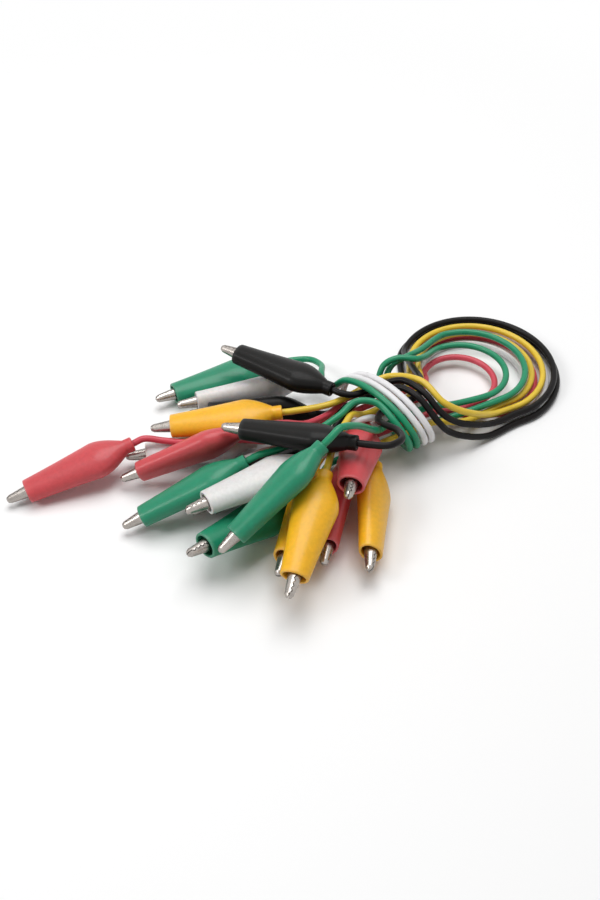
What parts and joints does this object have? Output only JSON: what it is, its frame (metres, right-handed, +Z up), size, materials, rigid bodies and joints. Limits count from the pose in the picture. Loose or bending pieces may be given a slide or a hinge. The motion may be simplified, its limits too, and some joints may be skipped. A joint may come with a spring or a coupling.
{
  "type": "alligator clip lead bundle",
  "caption": "Bundle of double-ended test leads, tied by wraps of their own wires; sprung alligator clips in soft coloured sleeves bite on terminals.",
  "frame": {"origin": "on the table, under the middle of the box around all clips", "axes": "+Z up from the table; +X along the long way of the heap of clips"},
  "size_m": [0.1927, 0.1448, 0.0375],
  "materials": {
    "sleeve_red": "satin soft vinyl",
    "sleeve_green": "satin soft vinyl",
    "sleeve_yellow": "satin soft vinyl",
    "sleeve_white": "satin soft vinyl",
    "sleeve_black": "satin soft vinyl",
    "wire_red": "satin soft vinyl",
    "wire_green": "satin soft vinyl",
    "wire_yellow": "satin soft vinyl",
    "wire_white": "satin soft vinyl",
    "wire_black": "satin soft vinyl",
    "plated_steel": "bright nickel plate",
    "copper": "bare copper strands"
  },
  "bodies": {
    "bundle": {"sleeve_black_1": "sleeve_black", "sleeve_green_2": "sleeve_green", "sleeve_white_3": "sleeve_white", "sleeve_yellow_4": "sleeve_yellow", "sleeve_black_5": "sleeve_black", "sleeve_red_6": "sleeve_red", "sleeve_red_7": "sleeve_red", "sleeve_green_8": "sleeve_green", "sleeve_white_9": "sleeve_white", "sleeve_black_10": "sleeve_black", "sleeve_green_11": "sleeve_green", "sleeve_green_12": "sleeve_green", "sleeve_yellow_13": "sleeve_yellow", "sleeve_red_14": "sleeve_red", "sleeve_red_15": "sleeve_red", "sleeve_yellow_16": "sleeve_yellow", "sleeve_white_17": "sleeve_white", "sleeve_yellow_18": "sleeve_yellow", "sleeve_white_19": "sleeve_white", "sleeve_black_20": "sleeve_black", "wire_black_a": "wire_black", "wire_black_b": "wire_black", "wire_yellow_a": "wire_yellow", "wire_yellow_b": "wire_yellow", "wire_green_a": "wire_green", "wire_green_b": "wire_green", "wire_white_a": "wire_white", "wire_white_b": "wire_white", "wire_red_a": "wire_red", "wire_red_b": "wire_red", "frames_red": "plated_steel", "frames_green": "plated_steel", "frames_yellow": "plated_steel", "frames_white": "plated_steel", "frames_black": "plated_steel", "rivets": "plated_steel", "springs": "plated_steel", "strands": "copper"},
    "jaw_black_1": {"jaw_black_1": "plated_steel"},
    "jaw_green_2": {"jaw_green_2": "plated_steel"},
    "jaw_white_3": {"jaw_white_3": "plated_steel"},
    "jaw_yellow_4": {"jaw_yellow_4": "plated_steel"},
    "jaw_black_5": {"jaw_black_5": "plated_steel"},
    "jaw_red_6": {"jaw_red_6": "plated_steel"},
    "jaw_red_7": {"jaw_red_7": "plated_steel"},
    "jaw_green_8": {"jaw_green_8": "plated_steel"},
    "jaw_white_9": {"jaw_white_9": "plated_steel"},
    "jaw_black_10": {"jaw_black_10": "plated_steel"},
    "jaw_green_11": {"jaw_green_11": "plated_steel"},
    "jaw_green_12": {"jaw_green_12": "plated_steel"},
    "jaw_yellow_13": {"jaw_yellow_13": "plated_steel"},
    "jaw_red_14": {"jaw_red_14": "plated_steel"},
    "jaw_red_15": {"jaw_red_15": "plated_steel"},
    "jaw_yellow_16": {"jaw_yellow_16": "plated_steel"},
    "jaw_white_17": {"jaw_white_17": "plated_steel"},
    "jaw_yellow_18": {"jaw_yellow_18": "plated_steel"},
    "jaw_white_19": {"jaw_white_19": "plated_steel"},
    "jaw_black_20": {"jaw_black_20": "plated_steel"}
  },
  "joints": [
    {"name": "pivot_black_1", "type": "hinge", "parent": "bundle", "child": "jaw_black_1", "pos_m": [0.02108, 0.03877, 0.01988], "axis": [0.1294, 0.2241, 0.9659], "range_deg": [0, 25], "stiffness_Nm_per_rad": 0.05, "springref_deg": -28.65, "deforming": ["sleeve_black_1", "springs"]},
    {"name": "pivot_green_2", "type": "hinge", "parent": "bundle", "child": "jaw_green_2", "pos_m": [-0.00201, 0.04486, 0.00448], "axis": [0, 0, -1], "range_deg": [0, 25], "stiffness_Nm_per_rad": 0.05, "springref_deg": -28.65, "deforming": ["sleeve_green_2"]},
    {"name": "pivot_white_3", "type": "hinge", "parent": "bundle", "child": "jaw_white_3", "pos_m": [0.00738, 0.03628, 0.00688], "axis": [-0.2346, 0.8754, 0.4226], "range_deg": [0, 25], "stiffness_Nm_per_rad": 0.05, "springref_deg": -28.65, "deforming": ["sleeve_white_3"]},
    {"name": "pivot_yellow_4", "type": "hinge", "parent": "bundle", "child": "jaw_yellow_4", "pos_m": [0.00067, 0.01593, 0.01353], "axis": [0.0868, 0.0076, -0.9962], "range_deg": [0, 25], "stiffness_Nm_per_rad": 0.05, "springref_deg": -28.65, "deforming": ["sleeve_yellow_4"]},
    {"name": "pivot_black_5", "type": "hinge", "parent": "bundle", "child": "jaw_black_5", "pos_m": [0.02548, -0.00277, 0.02653], "axis": [0.0565, 0.5025, 0.8627], "range_deg": [0, 25], "stiffness_Nm_per_rad": 0.05, "springref_deg": -28.65, "deforming": ["sleeve_black_5"]},
    {"name": "pivot_red_6", "type": "hinge", "parent": "bundle", "child": "jaw_red_6", "pos_m": [-0.04664, -0.00297, 0.0062], "axis": [0.1574, 0.0734, -0.9848], "range_deg": [0, 25], "stiffness_Nm_per_rad": 0.05, "springref_deg": -28.65, "deforming": ["sleeve_red_6"]},
    {"name": "pivot_red_7", "type": "hinge", "parent": "bundle", "child": "jaw_red_7", "pos_m": [-0.00953, 0.00086, 0.01065], "axis": [-0.3188, 0.8232, 0.4698], "range_deg": [0, 25], "stiffness_Nm_per_rad": 0.05, "springref_deg": -28.65, "deforming": ["sleeve_red_7"]},
    {"name": "pivot_green_8", "type": "hinge", "parent": "bundle", "child": "jaw_green_8", "pos_m": [-0.00738, -0.01641, 0.00965], "axis": [-0.4358, 0.2911, 0.8517], "range_deg": [0, 25], "stiffness_Nm_per_rad": 0.05, "springref_deg": -28.65, "deforming": ["sleeve_green_8"]},
    {"name": "pivot_white_9", "type": "hinge", "parent": "bundle", "child": "jaw_white_9", "pos_m": [0.01408, -0.02023, 0.01888], "axis": [-0.0436, 0.0755, 0.9962], "range_deg": [0, 25], "stiffness_Nm_per_rad": 0.05, "springref_deg": -28.65, "deforming": ["sleeve_white_9"]},
    {"name": "pivot_black_10", "type": "hinge", "parent": "bundle", "child": "jaw_black_10", "pos_m": [0.01382, -0.00875, 0.0079], "axis": [-0.1576, -0.2651, 0.9513], "range_deg": [0, 25], "stiffness_Nm_per_rad": 0.05, "springref_deg": -28.65, "deforming": ["sleeve_black_10"]},
    {"name": "pivot_green_11", "type": "hinge", "parent": "bundle", "child": "jaw_green_11", "pos_m": [0.01202, -0.03017, 0.00987], "axis": [0.3598, -0.0062, 0.933], "range_deg": [0, 25], "stiffness_Nm_per_rad": 0.05, "springref_deg": -28.65, "deforming": ["sleeve_green_11"]},
    {"name": "pivot_green_12", "type": "hinge", "parent": "bundle", "child": "jaw_green_12", "pos_m": [0.02172, -0.03146, 0.02247], "axis": [-0.6339, 0.2169, 0.7424], "range_deg": [0, 25], "stiffness_Nm_per_rad": 0.05, "springref_deg": -28.65, "deforming": ["sleeve_green_12"]},
    {"name": "pivot_yellow_13", "type": "hinge", "parent": "bundle", "child": "jaw_yellow_13", "pos_m": [0.03458, -0.04141, 0.0172], "axis": [0.1235, -0.2101, 0.9698], "range_deg": [0, 25], "stiffness_Nm_per_rad": 0.05, "springref_deg": -28.65, "deforming": ["sleeve_yellow_13"]},
    {"name": "pivot_red_14", "type": "hinge", "parent": "bundle", "child": "jaw_red_14", "pos_m": [0.04377, -0.02332, 0.00788], "axis": [-0.9254, 0.1632, 0.342], "range_deg": [0, 25], "stiffness_Nm_per_rad": 0.05, "springref_deg": -28.65, "deforming": ["sleeve_red_14"]},
    {"name": "pivot_red_15", "type": "hinge", "parent": "bundle", "child": "jaw_red_15", "pos_m": [0.05093, -0.01141, 0.01987], "axis": [0.2153, 0.2209, 0.9513], "range_deg": [0, 25], "stiffness_Nm_per_rad": 0.05, "springref_deg": -28.65, "deforming": ["sleeve_red_15"]},
    {"name": "pivot_yellow_16", "type": "hinge", "parent": "bundle", "child": "jaw_yellow_16", "pos_m": [0.05611, -0.02563, 0.00788], "axis": [-0.816, 0.0714, -0.5736], "range_deg": [0, 25], "stiffness_Nm_per_rad": 0.05, "springref_deg": -28.65, "deforming": ["sleeve_yellow_16"]},
    {"name": "pivot_white_17", "type": "hinge", "parent": "bundle", "child": "jaw_white_17", "pos_m": [-0.00813, 0.01158, 0.00448], "axis": [0, 0, -1], "range_deg": [0, 25], "stiffness_Nm_per_rad": 0.05, "springref_deg": -28.65, "deforming": ["sleeve_white_17"]},
    {"name": "pivot_yellow_18", "type": "hinge", "parent": "bundle", "child": "jaw_yellow_18", "pos_m": [0.03147, -0.02881, 0.00888], "axis": [-0.933, 0.25, -0.2588], "range_deg": [0, 25], "stiffness_Nm_per_rad": 0.05, "springref_deg": -28.65, "deforming": ["sleeve_yellow_18"]},
    {"name": "pivot_white_19", "type": "hinge", "parent": "bundle", "child": "jaw_white_19", "pos_m": [0.01699, 0.00286, 0.00448], "axis": [0, 0, -1], "range_deg": [0, 25], "stiffness_Nm_per_rad": 0.05, "springref_deg": -28.65, "deforming": ["sleeve_white_19"]},
    {"name": "pivot_black_20", "type": "hinge", "parent": "bundle", "child": "jaw_black_20", "pos_m": [0.01246, 0.02627, 0.00788], "axis": [0, 1, 0], "range_deg": [0, 25], "stiffness_Nm_per_rad": 0.05, "springref_deg": -28.65, "deforming": ["sleeve_black_20"]}
  ]
}
